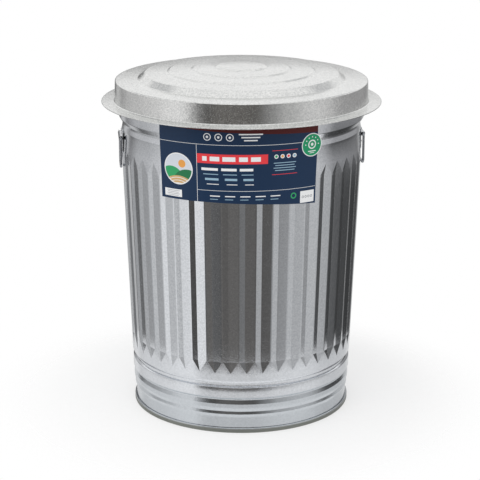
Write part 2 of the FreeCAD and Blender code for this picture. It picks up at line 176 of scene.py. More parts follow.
def mark_creases(bm):
    """Smooth shading everywhere but over real corners."""
    for face in bm.faces:
        face.smooth = True
    for edge in bm.edges:
        edge.smooth = edge.is_manifold and edge.calc_face_angle(0.0) < math.radians(CREASE)


def make_object(bm, name, material):
    """Turns a finished shape into an object of the scene."""
    mesh = bpy.data.meshes.new(name)
    bm.to_mesh(mesh)
    bm.free()
    mesh.materials.append(material)
    thing = bpy.data.objects.new(name, mesh)
    bpy.context.scene.collection.objects.link(thing)
    return thing


def finish_piece(bm, name, body, material, node):
    """Makes the piece, gives it its finish, lets it ride on its body and stand for its node."""
    piece = make_object(bm, name, material)
    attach(piece, body)
    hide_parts(node)
    print(name, len(piece.data.polygons), "faces")
    return piece


print("sheet of", SHEET, "mm, spun in", ROUND_STEPS, "steps a turn")

# %% [markdown]
# ## Galvanized steel
#
# Hot zinc freezes on the steel in crystals a few millimetres across, the spangle. Each crystal
# is flat but leans its own way, so one glints while its neighbour is dull. The group below
# builds that: a Voronoi cell is a crystal, and a height that rises across the cell in its own
# random direction makes the cell lean. Every metal here uses the group with its own values.

# %% Shader helpers


def join(tree, *pairs):
    for source, target in pairs:
        tree.links.new(source, target)


def feed(tree, sockets, values):
    """Sets each socket to a plain value, or links it where the value is another socket."""
    for socket, value in zip(sockets, values):
        if isinstance(value, bpy.types.NodeSocket):
            tree.links.new(value, socket)
        else:
            socket.default_value = value


def math_node(tree, operation, *values, clamp=False):
    """A Math node whose inputs are numbers or sockets."""
    node = tree.nodes.new("ShaderNodeMath")
    node.operation, node.use_clamp = operation, clamp
    feed(tree, node.inputs, values)
    return node.outputs[0]


def vector_node(tree, operation, *values, scale=None):
    """A Vector Math node; all but its lengths and dot products come out of the first socket."""
    node = tree.nodes.new("ShaderNodeVectorMath")
    node.operation = operation
    feed(tree, node.inputs, values)
    if scale is not None:
        node.inputs["Scale"].default_value = scale
    return node


def noise(tree, vector, scale, detail):
    node = tree.nodes.new("ShaderNodeTexNoise")
    feed(tree, [node.inputs[label] for label in ("Vector", "Scale", "Detail")],
         (vector, scale, detail))
    return node


def remap(tree, value, source, target, kind="LINEAR"):
    """Maps one range of numbers to another and stays within it."""
    node = tree.nodes.new("ShaderNodeMapRange")
    node.interpolation_type = kind
    labels = ("Value", "From Min", "From Max", "To Min", "To Max")
    feed(tree, [node.inputs[label] for label in labels], (value, *source, *target))
    return node.outputs["Result"]


def mix(tree, factor, a, b, kind="RGBA"):
    """Blends from a to b. A colour is three numbers or a socket."""
    node = tree.nodes.new("ShaderNodeMix")
    node.data_type = kind
    ends = [(*end, 1.0) if isinstance(end, tuple) else end for end in (a, b)]
    feed(tree, [node.inputs[label] for label in ("Factor", "A", "B")], (factor, *ends))
    return node.outputs["Result"]


def bump(tree, height, strength, distance):
    node = tree.nodes.new("ShaderNodeBump")
    feed(tree, [node.inputs[label] for label in ("Height", "Strength", "Distance")],
         (height, strength, distance))
    return node.outputs["Normal"]


def new_material(name):
    material = bpy.data.materials.new(name)
    material.use_nodes = True
    return material, material.node_tree


def new_group(name, numbers, outputs):
    """A node group that takes a Vector and named numbers, and gives named numbers."""
    group = bpy.data.node_groups.new(name, "ShaderNodeTree")
    group.interface.new_socket(name="Vector", in_out="INPUT", socket_type="NodeSocketVector")
    number = "NodeSocketFloat"
    for label, value in numbers:
        socket = group.interface.new_socket(name=label, in_out="INPUT", socket_type=number)
        socket.default_value = value
    for label in outputs:
        group.interface.new_socket(name=label, in_out="OUTPUT", socket_type=number)
    return group, group.nodes.new("NodeGroupInput"), group.nodes.new("NodeGroupOutput")


print("shader helpers ready")

# %% Spangle group
WANDER = (60.0, 2.0)         # the noise that bends the crystals' edges: scale and detail
WANDER_REACH = 0.006         # how far it moves them
CLOUD = (14.0, 4.0)          # the noise of the bloom: scale and detail


def spangle_group():
    group, start, end = new_group(
        "zinc_spangle", (("Crystals per metre", 220.0), ("Lean", 0.04), ("Bloom", 0.1)),
        ("Tone", "Roughness", "Height"))
    place = start.outputs["Vector"]
    wander = noise(group, place, *WANDER).outputs["Color"]
    shift = vector_node(group, "SCALE", wander, scale=WANDER_REACH).outputs[0]
    moved = vector_node(group, "ADD", place, shift).outputs[0]
    crystal = group.nodes.new("ShaderNodeTexVoronoi")
    crystal.feature, crystal.inputs["Randomness"].default_value = "F1", 1.0
    shade = group.nodes.new("ShaderNodeSeparateColor")
    join(group, (moved, crystal.inputs["Vector"]),
         (start.outputs["Crystals per metre"], crystal.inputs["Scale"]),
         (crystal.outputs["Color"], shade.inputs["Color"]))
    from_centre = vector_node(group, "SUBTRACT", moved, crystal.outputs["Position"]).outputs[0]
    direction = vector_node(group, "SUBTRACT", crystal.outputs["Color"], (0.5, 0.5, 0.5)).outputs[0]
    rise = vector_node(group, "DOT_PRODUCT", from_centre, direction).outputs["Value"]
    height = math_node(group, "MULTIPLY", rise, start.outputs["Lean"])
    cloud = math_node(group, "SUBTRACT", noise(group, place, *CLOUD).outputs["Fac"], 0.5)
    bloom = math_node(group, "MULTIPLY", cloud, start.outputs["Bloom"])
    tone = math_node(group, "ADD", math_node(group, "MULTIPLY", shade.outputs["Red"], 0.5),
                     math_node(group, "ADD", bloom, 0.25))
    rough = math_node(group, "ADD", shade.outputs["Green"], bloom)
    join(group, (tone, end.inputs["Tone"]), (rough, end.inputs["Roughness"]),
         (height, end.inputs["Height"]))
    return group


spangle = spangle_group()
print("group", spangle.name, [s.name for s in spangle.interface.items_tree])

# %% [markdown]
# Each metal has a colour for its darkest and its lightest crystals, a range of roughness, and
# its own crystals: fine and nearly level on the rolled body, more uneven on the lid. The inside
# is never rubbed, so it has dulled. The foot's zinc is darker than the body's, and a mask of the
# height makes the hem darker and rougher still: the darkening is painted shade, for the shadowed
# floor that the foot reflects.

# %% Metals
# heights in mm over which the painted shade at the hem fades out upwards
FOOT_SHADE_Z = (7.0, 10.0)
INSIDE_METALLIC = 0.6        # duller zinc has a film of its salts over it
# dark and light crystal, range of roughness, crystals per metre, their lean, bloom
METALS = {
    "galvanized_body": ((0.60, 0.62, 0.65), (0.79, 0.81, 0.84), (0.10, 0.16), 420.0, 0.011, 0.05),
    # the foot's darker crystal colours are painted shade, for the shadowed floor that the hoop
    # reflects
    "galvanized_foot": ((0.53, 0.56, 0.59), (0.65, 0.68, 0.71), (0.14, 0.20), 420.0, 0.016, 0.05),
    "galvanized_lid": ((0.54, 0.55, 0.55), (0.92, 0.92, 0.90), (0.14, 0.24), 450.0, 0.04, 0.1),
    "galvanized_wire": ((0.30, 0.31, 0.33), (0.44, 0.45, 0.47), (0.20, 0.30), 400.0, 0.04, 0.1),
    "plated_rivet": ((0.55, 0.55, 0.56), (0.68, 0.68, 0.69), (0.22, 0.30), 600.0, 0.01, 0.1),
    "galvanized_inside": ((0.58, 0.59, 0.60), (0.72, 0.73, 0.74), (0.40, 0.55), 300.0, 0.04, 0.1)}


def metal(name, dark, light, rough, crystals, lean, bloom):
    """A zinc-coated metal."""
    material, tree = new_material(name)
    shader = tree.nodes["Principled BSDF"]
    shader.inputs["Metallic"].default_value = 1.0
    place = tree.nodes.new("ShaderNodeTexCoord")
    zinc = tree.nodes.new("ShaderNodeGroup")
    zinc.node_tree = spangle
    feed(tree, zinc.inputs, (place.outputs["Object"], crystals, lean, bloom))
    roughness = remap(tree, zinc.outputs["Roughness"], (0, 1), rough)
    join(tree, (mix(tree, zinc.outputs["Tone"], dark, light), shader.inputs["Base Color"]),
         (roughness, shader.inputs["Roughness"]),
         (bump(tree, zinc.outputs["Height"], 1.0, 1.0), shader.inputs["Normal"]))
    return material


def paint_foot_shade(material, dark, dull):
    """Darkens and dulls a metal at its foot: the darker colour is painted shade for the shadowed
    floor that the hem reflects.
    """
    tree = material.node_tree
    place = next(node for node in tree.nodes if node.type == "TEX_COORD")
    parts = tree.nodes.new("ShaderNodeSeparateXYZ")
    join(tree, (place.outputs["Object"], parts.inputs[0]))
    unshaded = remap(tree, parts.outputs["Z"], [z * MM for z in FOOT_SHADE_Z], (0, 1))
    for name, shade_value, kind in (("Base Color", dark, "RGBA"), ("Roughness", dull, "FLOAT")):
        socket = tree.nodes["Principled BSDF"].inputs[name]
        join(tree, (mix(tree, unshaded, shade_value, socket.links[0].from_socket, kind), socket))


metals = [metal(name, *finish) for name, finish in METALS.items()]
body_metal, foot_metal, lid_metal, wire_metal, rivet_metal, inside_metal = metals
# painted shade at the hem: a dark colour and a duller roughness below the fade heights
paint_foot_shade(foot_metal, (0.24, 0.25, 0.23), 0.45)
inside_metal.node_tree.nodes["Principled BSDF"].inputs["Metallic"].default_value = INSIDE_METALLIC
print("metals", [m.name for m in metals])

# %% [markdown]
# ## The fluted body
#
# A press rolls the flutes into the flat sheet before it is bent to a tube. Each is a shallow V
# of two flat facets, closed at both ends by small triangles where the sheet goes back to plain.
# Here the wall's line is spun through one pitch, the outline of the V is scored into it with
# bisect planes, and the points inside are pushed in until they lie on the facets. Copies round
# the axis finish the can. The slot at the back stays plain for the lock seam.

# %% Sizes of the body
RIM_TOP = 686.3              # top of the rolled rim
RIM_BAND_R = 251.5
BAND_FOOT = RIM_TOP - 70.8
FLARE_FOOT = BAND_FOOT - 10.5
NECK_R = RIM_BAND_R - 6.9
NECK_CREASE = RIM_TOP - 102.8
BARREL_TOP = (NECK_R + 1.9, RIM_TOP - 160.3)
HOOP_R = 223.2               # plain band of the foot
SEAM_R = HOOP_R + 6.2
SEAM_Z = (78.0, 84.0)        # the seam that holds hoop and body together
SHOULDER = (SEAM_R - 0.2, 98.0)
NOTCH_R = HOOP_R + 1.5
NOTCH_Z = (100.6, 106.0)
BARREL_FOOT = (HOOP_R + 7.1, 113.3)
LEDGE = 2.9
ROLL_R = 2.95                # middle line of the rim's roll
RIM_R = RIM_BAND_R - HALF + 2 * ROLL_R + HALF
FLUTES = 45
PITCH = 360 / FLUTES
FIRST_RIDGE = 1.55
PLAIN_SLOT = FLUTES // 2
LOCK_SEAM = FIRST_RIDGE + PITCH * (PLAIN_SLOT + 0.5)
FLUTE_Z = (BARREL_FOOT[1] + 39.7, BARREL_TOP[1] + 4.0)
FLUTE_TIPS = (FLUTE_Z[0] - 24.0, FLUTE_Z[1] + 22.0)
FLUTE_DEPTH = 2.05
VALLEY = 0.37                # where the valley lies, as a share of the pitch
LAND = 0.3                   # degrees of plain ridge at each side of a flute


def body_corners():
    """The middle line of the wall, with a corner at each height where a flute changes."""
    seam, notch, band = SEAM_R - HALF, NOTCH_R - HALF, RIM_BAND_R - HALF
    foot, top = (BARREL_FOOT[0] - HALF, BARREL_FOOT[1]), (BARREL_TOP[0] - HALF, BARREL_TOP[1])
    neck, crest = (NECK_R - HALF, NECK_CREASE), RIM_TOP - HALF
    line = [(seam, SEAM_Z[0]), (seam, SEAM_Z[1], 4.0), (SHOULDER[0] - HALF, SHOULDER[1], 0.8),
            (notch, NOTCH_Z[0], 0.6), (notch, NOTCH_Z[1], 1.5),
            (foot[0] - LEDGE, foot[1] - 1.0, 0.6), (*foot, 0.8)]
    line += [(on_line(foot, top, z), z) for z in (FLUTE_TIPS[0], FLUTE_Z[0])]
    line += [top] + [(on_line(top, neck, z), z) for z in (FLUTE_Z[1], FLUTE_TIPS[1])]
    line += [neck, (neck[0] + 1.1, NECK_CREASE + 7.0, 6.0), (neck[0] - 0.3, FLARE_FOOT - 5.0, 3.0),
             (neck[0] + 0.2, FLARE_FOOT, 2.0), (band, BAND_FOOT, 3.0), (band, crest, ROLL_R),
             (band + 2 * ROLL_R, crest, ROLL_R), (band + 2 * ROLL_R, crest - 2 * ROLL_R, ROLL_R),
             (band + 0.6 * ROLL_R, crest - 2 * ROLL_R)]
    return line, foot, top, neck


def wall_r(z):
    """Radius of the plain wall's outer face, at a height from the barrel to the neck."""
    if z < BARREL_TOP[1]:
        return on_line(BARREL_FOOT, BARREL_TOP, z)
    return on_line(BARREL_TOP, (NECK_R, NECK_CREASE), z)


print("flutes", FLUTES - 1, "pitch", PITCH, "seam at", LOCK_SEAM)

# %% One flute
SECTOR_STEPS = 8
SCORE_R = 200.0              # the upright cuts go through lines at this radius


def flute_marks(start, foot, top, neck):
    """For both ends of a flute: its valley, its two ridges and the point of its triangle."""
    angles = (start + PITCH * VALLEY, start + LAND, start + PITCH - LAND)
    marks = []
    for z, tip_z in zip(FLUTE_Z, FLUTE_TIPS):
        r = on_line(foot, top, z)
        deep = r * (1 - FLUTE_DEPTH / top[0])
        tip_r = on_line(foot, top, tip_z) if tip_z < top[1] else on_line(top, neck, tip_z)
        marks.append((at(angles[0], deep, z), at(angles[1], r, z), at(angles[2], r, z),
                      at(start + PITCH / 2, tip_r, tip_z)))
    return marks


def score(bm, p, q, z_range):
    """Cuts an edge from p to q into the wall, between two heights."""
    outward = Vector((p.x + q.x, p.y + q.y, 0))
    faces = [f for f in bm.faces if z_range[0] * MM < f.calc_center_median().z < z_range[1] * MM]
    geom = set(faces) | {e for f in faces for e in f.edges} | {v for f in faces for v in f.verts}
    bmesh.ops.bisect_plane(bm, geom=list(geom), dist=WELD, plane_co=p,
                           plane_no=(q - p).cross(outward))


def facet(points):
    """Point and outward normal of the plane through three points."""
    a, b, c = points
    normal = (b - a).cross(c - a).normalized()
    return a, normal if normal.x * a.x + normal.y * a.y > 0 else -normal


def press_flute(bm, marks):
    """Moves the wall's points inwards until they lie on the facets of the V."""
    (v0, a0, b0, _), (v1, _, _, _) = marks
    sides = [facet((v0, v1, ridge)) for ridge in (a0, b0)]
    ends = [[facet((valley, ridge, tip)) for ridge in (a, b)] for valley, a, b, tip in marks]
    for vert in bm.verts:
        if FLUTE_TIPS[0] * MM - WELD < vert.co.z < FLUTE_TIPS[1] * MM + WELD:
            r = math.hypot(vert.co.x, vert.co.y)
            out = Vector((vert.co.x / r, vert.co.y / r, 0))
            near = ends[0] if vert.co.z < (v0.z + v1.z) / 2 else ends[1]
            reach = max((n.dot(p) - n.z * vert.co.z) / n.dot(out) for p, n in sides + near)
            if reach < r:
                vert.co.x, vert.co.y = out.x * reach, out.y * reach


def wall_sector(start, fluted):
    """One pitch of the whole wall, from the foot seam to the rolled rim."""
    line, foot, top, neck = body_corners()
    bm = spin_line(line, start, PITCH, SECTOR_STEPS)
    if fluted:
        marks = flute_marks(start, foot, top, neck)
        for angle in (start + LAND, start + PITCH * VALLEY, start + PITCH - LAND):
            score(bm, *(at(angle, SCORE_R, z) for z in FLUTE_TIPS), FLUTE_TIPS)
        for end, z_range in zip(marks, ((FLUTE_TIPS[0], FLUTE_Z[0]), (FLUTE_Z[1], FLUTE_TIPS[1]))):
            for point in end[:3]:
                score(bm, point, end[3], z_range)
        press_flute(bm, marks)
    return bm


one_flute = wall_sector(FIRST_RIDGE, True)
print("one flute", len(one_flute.faces), "faces")
one_flute.free()

# %% [markdown]
# The lock seam holds the sheet's two ends together. They are hooked into each other and rolled
# flat, which leaves a raised strip down the back.

# %% The whole body
FOLD = 3.0                   # degrees: the flutes' facets meet at less than other corners do
LOCK_W, LOCK_H = 9.0, 0.9    # the lock seam's strip
INWARD = -0.3                # a face that turns this much to the axis belongs to the inside
BODY_WELD = 1e-5             # metres


def fold_creases(bm):
    """The flutes' folds stay crisp; everywhere else only real corners do."""
    mark_creases(bm)
    low, high = (FLUTE_TIPS[0] - 1) * MM, (FLUTE_TIPS[1] + 1) * MM
    for edge in bm.edges:
        if edge.is_manifold and all(low < v.co.z < high for v in edge.verts):
            edge.smooth = edge.calc_face_angle(0.0) < math.radians(FOLD)


def lock_seam():
    heights = (BARREL_FOOT[1] + 9.0, BARREL_TOP[1], NECK_CREASE - 1.0)
    sweep = math.degrees(LOCK_W / BARREL_TOP[0])
    bm = spin_line([(wall_r(z) - HALF, z) for z in heights], LOCK_SEAM - sweep / 2, sweep, 2)
    thicken(bm, 0.0, HALF + LOCK_H)
    return bm


def dull_inside(piece):
    """Gives the faces that look into the can the duller zinc of a surface that nothing rubs."""
    piece.data.materials.append(inside_metal)
    for face in piece.data.polygons:
        x, y = face.center.x, face.center.y
        if face.normal.x * x + face.normal.y * y < INWARD * math.hypot(x, y):
            face.material_index = 1


def make_body():
    bm = wall_sector(LOCK_SEAM + PITCH / 2, True)
    copies = FLUTES - 2
    bmesh.ops.spin(bm, geom=bm.verts[:] + bm.edges[:] + bm.faces[:], axis=(0, 0, 1), cent=(0, 0, 0),
                   dvec=(0, 0, 0), angle=math.radians(PITCH * copies), steps=copies,
                   use_duplicate=True)
    add_to(bm, wall_sector(LOCK_SEAM - PITCH / 2, False))
    bmesh.ops.remove_doubles(bm, verts=bm.verts[:], dist=BODY_WELD)
    thicken(bm)
    fold_creases(bm)
    add_to(bm, lock_seam())
    return finish_piece(bm, "can_body", "can", body_metal, "body_shell")


dull_inside(make_body())

# %% [markdown]
# ## The foot
#
# The foot is a separate hoop, because a straight-sided ring stands better than the tapered body
# and can be rolled from heavier sheet. Two beads stiffen it, a hem makes its lower edge safe,
# and its ends overlap in a lap joint at the front. The floor of the can is a shallow pan whose
# flange is held inside the hoop.

# %% Hoop and pan
HEM_R, HEM_H = HOOP_R + 3.8, 10.4
LAP_ANGLE, LAP_W, LAP_T = -6.5, 14.0, 0.5
NEST_GAP = 0.1               # between sheets that lie inside one another
PAN_TOP = 30.0


def hoop_corners():
    r, hem = HOOP_R - HALF, HEM_R - HALF
    tucked = SEAM_R - SHEET - NEST_GAP - HALF
    return [(HOOP_R + 0.4, HEM_H - HALF), (hem, HEM_H - HALF, 1.7), (hem, HALF, 1.3), (r, HALF, 1.3),
            (r, 33.5, 2.0), (r + 2.7, 39.5, 2.5), (r + 0.8, 46.0, 2.0), (r + 4.4, 53.5, 3.0),
            (r + 4.4, 62.5, 3.0), (r + 1.8, 70.3, 2.0), (r + 1.8, 73.0, 1.5),
            (tucked, SEAM_Z[0] - 2.0, 1.5), (tucked, SEAM_Z[1] - 1.2)]


def make_hoop():
    corners = hoop_corners()
    bm = spin_line(corners)
    thicken(bm)
    mark_creases(bm)
    sweep = math.degrees(LAP_W / HOOP_R)
    lap = spin_line([(corners[3][0], HEM_H + 1.5)] + corners[4:11], LAP_ANGLE - sweep / 2, sweep, 3)
    thicken(lap, 0.0, HALF + LAP_T)
    mark_creases(lap)
    add_to(bm, lap)
    return finish_piece(bm, "foot_hoop", "can", foot_metal, "base_hoop")


def make_pan():
    edge, floor = HOOP_R - SHEET - NEST_GAP - HALF, PAN_TOP - HALF
    groove, low = edge - 17.0, floor - 1.2
    corners = [(edge, 3.0), (edge, floor, 3.4), (groove + 3.5, floor, 1.2),
               (groove + 1.5, low, 1.2), (groove - 1.5, low, 1.2), (groove - 3.5, floor, 1.2),
               (0, floor)]
    bm = spin_line(corners)
    thicken(bm)
    mark_creases(bm)
    return finish_piece(bm, "floor_pan", "can", inside_metal, "bottom_pan")


make_hoop()
make_pan()

# %% [markdown]
# ## The lid
#
# The lid is one disc, drawn and spun: a stepped crown for stiffness, a straight skirt that
# reaches over the rim, and a wide flat brim with a folded edge that serves as the grip.

# %% Lid
LID_EDGE = RIM_R + 0.5 + HALF
LID_TOP = RIM_TOP + 0.3 + HALF
LID_RINGS = ((152.0, 2.1, 3.5), (147.0, 4.7, 3.0), (103.5, 5.9, 3.5), (97.5, 8.7, 3.0),
             (56.0, 10.1, 3.5), (49.5, 13.1, 3.0))    # radius, rise over the step, bend


def make_lid():
    brim, out = LID_TOP - 42.2, LID_EDGE + 28.1
    hem = brim - 1.8
    head = LID_TOP + 13.4
    corners = [(out - 5.5, hem), (out, hem, 0.9), (out, brim, 0.9), (LID_EDGE + 1.3, brim, 3.0),
               (LID_EDGE, LID_TOP, 2.4), (LID_EDGE - 46.3, LID_TOP + 1.4, 5.0),
               (LID_EDGE - 59.8, head, 7.0)]
    corners += [(r, head + rise, bend) for r, rise, bend in LID_RINGS]
    corners += [(12.0, head + 13.8, 30.0), (0, head + 13.8)]
    bm = spin_line(corners)
    thicken(bm)
    mark_creases(bm)
    return finish_piece(bm, "can_lid", "lid", lid_metal, "lid_shell")


make_lid()

# %% [markdown]
# ## The handles
#
# Each handle is a steel wire bent to a U, whose ends turn in towards each other and lie in the
# hump of a riveted bracket. The bracket is a strip with that hump pressed across it. The strip
# is extruded sideways, its flanges are curved to the can, and bisect planes trim its corners.

# %% Bracket
HINGE = (NECK_R + 5.0, NECK_CREASE - 10.5)    # distance from the axis and height
EAR_W, EAR_T, EAR_CORNER = 56.0, 1.6, 5.0
EAR_Z = (HINGE[1] - 32.0, HINGE[1] + 14.5)
WIRE_R = 2.5
HUMP_R = WIRE_R + 0.06 + EAR_T / 2            # middle line of the hump
EAR_STRIPS, CORNER_CUTS, EAR_BEVEL = 14, 8, 0.35


def end_of(geom):
    """The points of an operator's result, and the edges between them."""
    verts = [g for g in geom if isinstance(g, bmesh.types.BMVert)]
    edges = [g for g in geom if isinstance(g, bmesh.types.BMEdge)]
    return verts, [e for e in edges if all(v in verts for v in e.verts)]


def cut_off(bm, point, normal):
    """Cuts the shape by a plane and drops what lies on the side of its normal."""
    bmesh.ops.bisect_plane(bm, geom=bm.verts[:] + bm.edges[:] + bm.faces[:], dist=1e-7,
                           plane_co=point, plane_no=normal, clear_outer=True)


def ear_r(z):
    """Inner face of the flange, which bridges the crease between its two ends."""
    return on_line((wall_r(EAR_Z[0]) + 0.05, EAR_Z[0]), (NECK_R + 0.75, EAR_Z[1]), z)


def bracket_sheet():
    """The strip with its hump, as a surface on the +X side of the can."""
    x, z = HINGE
    feet = [ear_r(h) + EAR_T / 2 for h in (EAR_Z[0], z - HUMP_R, z + HUMP_R, EAR_Z[1])]
    bm = bend_line([(feet[0], EAR_Z[0]), (feet[1], z - HUMP_R, 0.9),
                    (x + HUMP_R, z - HUMP_R, HUMP_R), (x + HUMP_R, z + HUMP_R, HUMP_R),
                    (feet[2], z + HUMP_R, 0.9), (feet[3], EAR_Z[1])])
    bmesh.ops.translate(bm, verts=bm.verts[:], vec=(0, -EAR_W / 2 * MM, 0))
    edges = bm.edges[:]
    for _ in range(EAR_STRIPS):
        verts, edges = end_of(bmesh.ops.extrude_edge_only(bm, edges=edges)["geom"])
        bmesh.ops.translate(bm, verts=verts, vec=(0, EAR_W / EAR_STRIPS * MM, 0))
    for v in bm.verts:
        if v.co.x < (x - 1.0) * MM:
            v.co.x = math.sqrt(v.co.x ** 2 - v.co.y ** 2)
    return bm


def trim_corners(bm):
    """Rounds the strip's corners with a fan of cuts, each tangent to the corner's round."""
    middle = (EAR_Z[0] + EAR_Z[1]) / 2
    for side_y in (-1, 1):
        for side_z in (-1, 1):
            centre = Vector((0, side_y * (EAR_W / 2 - EAR_CORNER),
                             middle + side_z * ((EAR_Z[1] - EAR_Z[0]) / 2 - EAR_CORNER))) * MM
            for step in range(1, CORNER_CUTS):
                turn = math.radians(step * 90 / CORNER_CUTS)
                normal = Vector((0, side_y * math.cos(turn), side_z * math.sin(turn)))
                cut_off(bm, centre + normal * EAR_CORNER * MM, normal)


def make_bracket(name, turn, node):
    bm = bracket_sheet()
    trim_corners(bm)
    face_away(bm, Vector((HINGE[0] - 20, 0, HINGE[1])) * MM)
    thicken(bm, -EAR_T / 2, EAR_T / 2)
    rim = [e for e in bm.edges if e.calc_face_angle(0.0) > math.radians(60)]
    bmesh.ops.bevel(bm, geom=rim, offset=EAR_BEVEL * MM, affect="EDGES", segments=2, profile=0.5,
                    material=-1)
    mark_creases(bm)
    turn_round(bm, turn)
    return finish_piece(bm, name, "can", body_metal, node)


make_bracket("bracket_on_right", 0, "handle_bracket_right")
make_bracket("bracket_on_left", 180, "handle_bracket_left")

# %% [markdown]
# Four rivets hold each bracket. A rivet is turned from one half outline: a domed head outside,
# the shank, and the flattened end inside.

# %% Rivets
RIVET_Y = EAR_W / 2 - 10.0
RIVET_Z = (HINGE[1] - 17.0, HINGE[1] + 9.4)
HEAD_R, HEAD_H, SHANK_R = 3.5, 1.7, 2.0
TAIL_R, TAIL_H = HEAD_R - 0.5, 1.0            # the flattened end
GRIP = EAR_T + SHEET + 0.1                    # the sheets that a rivet holds together


def rivet_mesh():
    """One rivet along +Z, its head's seat at the origin."""
    dome = (HEAD_R ** 2 + HEAD_H ** 2) / (2 * HEAD_H)
    reach = dome * math.tan(math.asin(HEAD_R / dome) / 2)
    corners = [(0, -GRIP - TAIL_H), (TAIL_R, -GRIP - TAIL_H, 0.4), (TAIL_R, -GRIP),
               (SHANK_R, -GRIP), (SHANK_R, 0), (HEAD_R, 0), (reach, HEAD_H, dome), (0, HEAD_H)]
    return spin_line(corners, steps=24)


def make_rivets():
    bm = bmesh.new()
    for side in (90, -90):
        for z in RIVET_Z:
            for turn in (-1, 1):
                angle = side + turn * math.degrees(math.asin(RIVET_Y / NECK_R))
                one = rivet_mesh()
                lie = Matrix.Rotation(math.pi / 2, 4, "Y")
                stand = Matrix.Rotation(math.radians(angle - 90), 4, "Z") @ lie
                place = Matrix.Translation(at(angle, ear_r(z) + EAR_T, z)) @ stand
                bmesh.ops.transform(one, matrix=place, verts=one.verts[:])
                add_to(bm, one)
    mark_creases(bm)
    return finish_piece(bm, "rivets", "can", rivet_metal, "bracket_rivets")


make_rivets()

# %% [markdown]
# The bail is wire. A ring of edges stands for its section: it is pushed along each straight run
# and spun through each bend, just as the wire is drawn and bent.

# %% Bails
BAIL_W, BAIL_DROP, BAIL_PIN = 67.0, 60.0, 25.5
WIRE_SIDES, WIRE_STEPS = 16, 10


def draw_wire(corners, radius):
    """Wire through (x, y, z, bend radius) corners."""
    bm = bmesh.new()
    points = [Vector(c[:3]) * MM for c in corners]
    runs = [(q - p).normalized() for p, q in zip(points, points[1:])]
    facing = Matrix.Translation(points[0]) @ runs[0].to_track_quat("Z", "Y").to_matrix().to_4x4()
    start = bmesh.ops.create_circle(bm, cap_ends=True, radius=radius * MM, segments=WIRE_SIDES,
                                    matrix=facing)
    edges = list({e for v in start["verts"] for e in v.link_edges})
    here = points[0]
    for i, run in enumerate(runs):
        last = i == len(runs) - 1
        turn = 0.0 if last else run.angle(runs[i + 1])
        bend = 0.0 if last else corners[i + 1][3] * MM
        stop = points[i + 1] - run * bend * math.tan(turn / 2)
        verts, edges = end_of(bmesh.ops.extrude_edge_only(bm, edges=edges)["geom"])
        bmesh.ops.translate(bm, verts=verts, vec=stop - here)
        if last:
            bmesh.ops.contextual_create(bm, geom=edges)
            break
        axis = run.cross(runs[i + 1]).normalized()
        centre = stop + axis.cross(run) * bend
        turned = bmesh.ops.spin(bm, geom=verts + edges, cent=centre, axis=axis, dvec=(0, 0, 0),
                                angle=turn, steps=WIRE_STEPS)
        verts, edges = end_of(turned["geom_last"])
        here = centre - axis.cross(runs[i + 1]) * bend
    bmesh.ops.recalc_face_normals(bm, faces=bm.faces[:])
    return bm


def make_bail(name, turn, body_name, node):
    half, low = BAIL_W / 2, HINGE[1] - BAIL_DROP
    x, z = HINGE
    corners = [(x, half - BAIL_PIN, z), (x, half, z, 4.0), (x, half, low, 9.0),
               (x, -half, low, 9.0), (x, -half, z, 4.0), (x, BAIL_PIN - half, z)]
    bm = draw_wire(corners, WIRE_R)
    turn_round(bm, turn)
    mark_creases(bm)
    return finish_piece(bm, name, body_name, wire_metal, node)


make_bail("bail_on_right", 0, "right_bail", "bail_right")
make_bail("bail_on_left", 180, "left_bail", "bail_left")

# %% [markdown]
# ## The label
#
# A printed card is wrapped round the front, from the rim band down over the flutes. It touches
# only the band and the ridges, so it sags a little between them. Its lower edge is cut to a
# slight arch. The sheet is spun like the metal, its lower rows are drawn to that edge, and the
# UV map unrolls it: one UV unit is a metre of card.

# %% Label card
LABEL_TURN = -5.3            # its middle line
LABEL_SIDES = (-39.4, 36.3)
LABEL_TOP = RIM_TOP - 48.3
# its lower edge: angle from the middle line, height
LABEL_FOOT = ((-39.4, 487.5), (-14.0, 488.0), (0.0, 486.5), (12.0, 484.5), (24.0, 481.0),
              (36.3, 477.0))
LABEL_T = 0.4
LABEL_GAP = 0.25
LABEL_STEPS, CARD_ROWS = 152, 8
CARD_SAG, SAG_FADE = 0.10, (20.0, 60.0)       # no sag this near the band, and full sag after it
PRINT_FOOT = 488.0           # the print's own heights start here
PRINT_R = 248.0


def rows(low, high):
    return [low + (high - low) * i / CARD_ROWS for i in range(CARD_ROWS + 1)]


def card_line(low, off):
    """The card's line: down the rim band, then straight to the ridges and down along them."""
    top, band = (BARREL_TOP[0] + off, BARREL_TOP[1]), (RIM_BAND_R + off, BAND_FOOT)
    line = [(wall_r(z) + off, z) for z in rows(low, top[1])] if low < top[1] else []
    above = rows(max(low, top[1]), band[1])[:-1]
    line += [(on_line(top, band, z), z) for z in (above[1:] if line else above)]
    return line + [(*band, 8.0), (band[0], LABEL_TOP)]


def label_angle(co):
    return math.degrees(math.atan2(co.x, -co.y)) - LABEL_TURN


def foot_height(angle):
    """Height of the card's lower edge."""
    for p, q in zip(LABEL_FOOT, LABEL_FOOT[1:]):
        if angle <= q[0]:
            return on_line(p[::-1], q[::-1], angle)
    return LABEL_FOOT[-1][1]


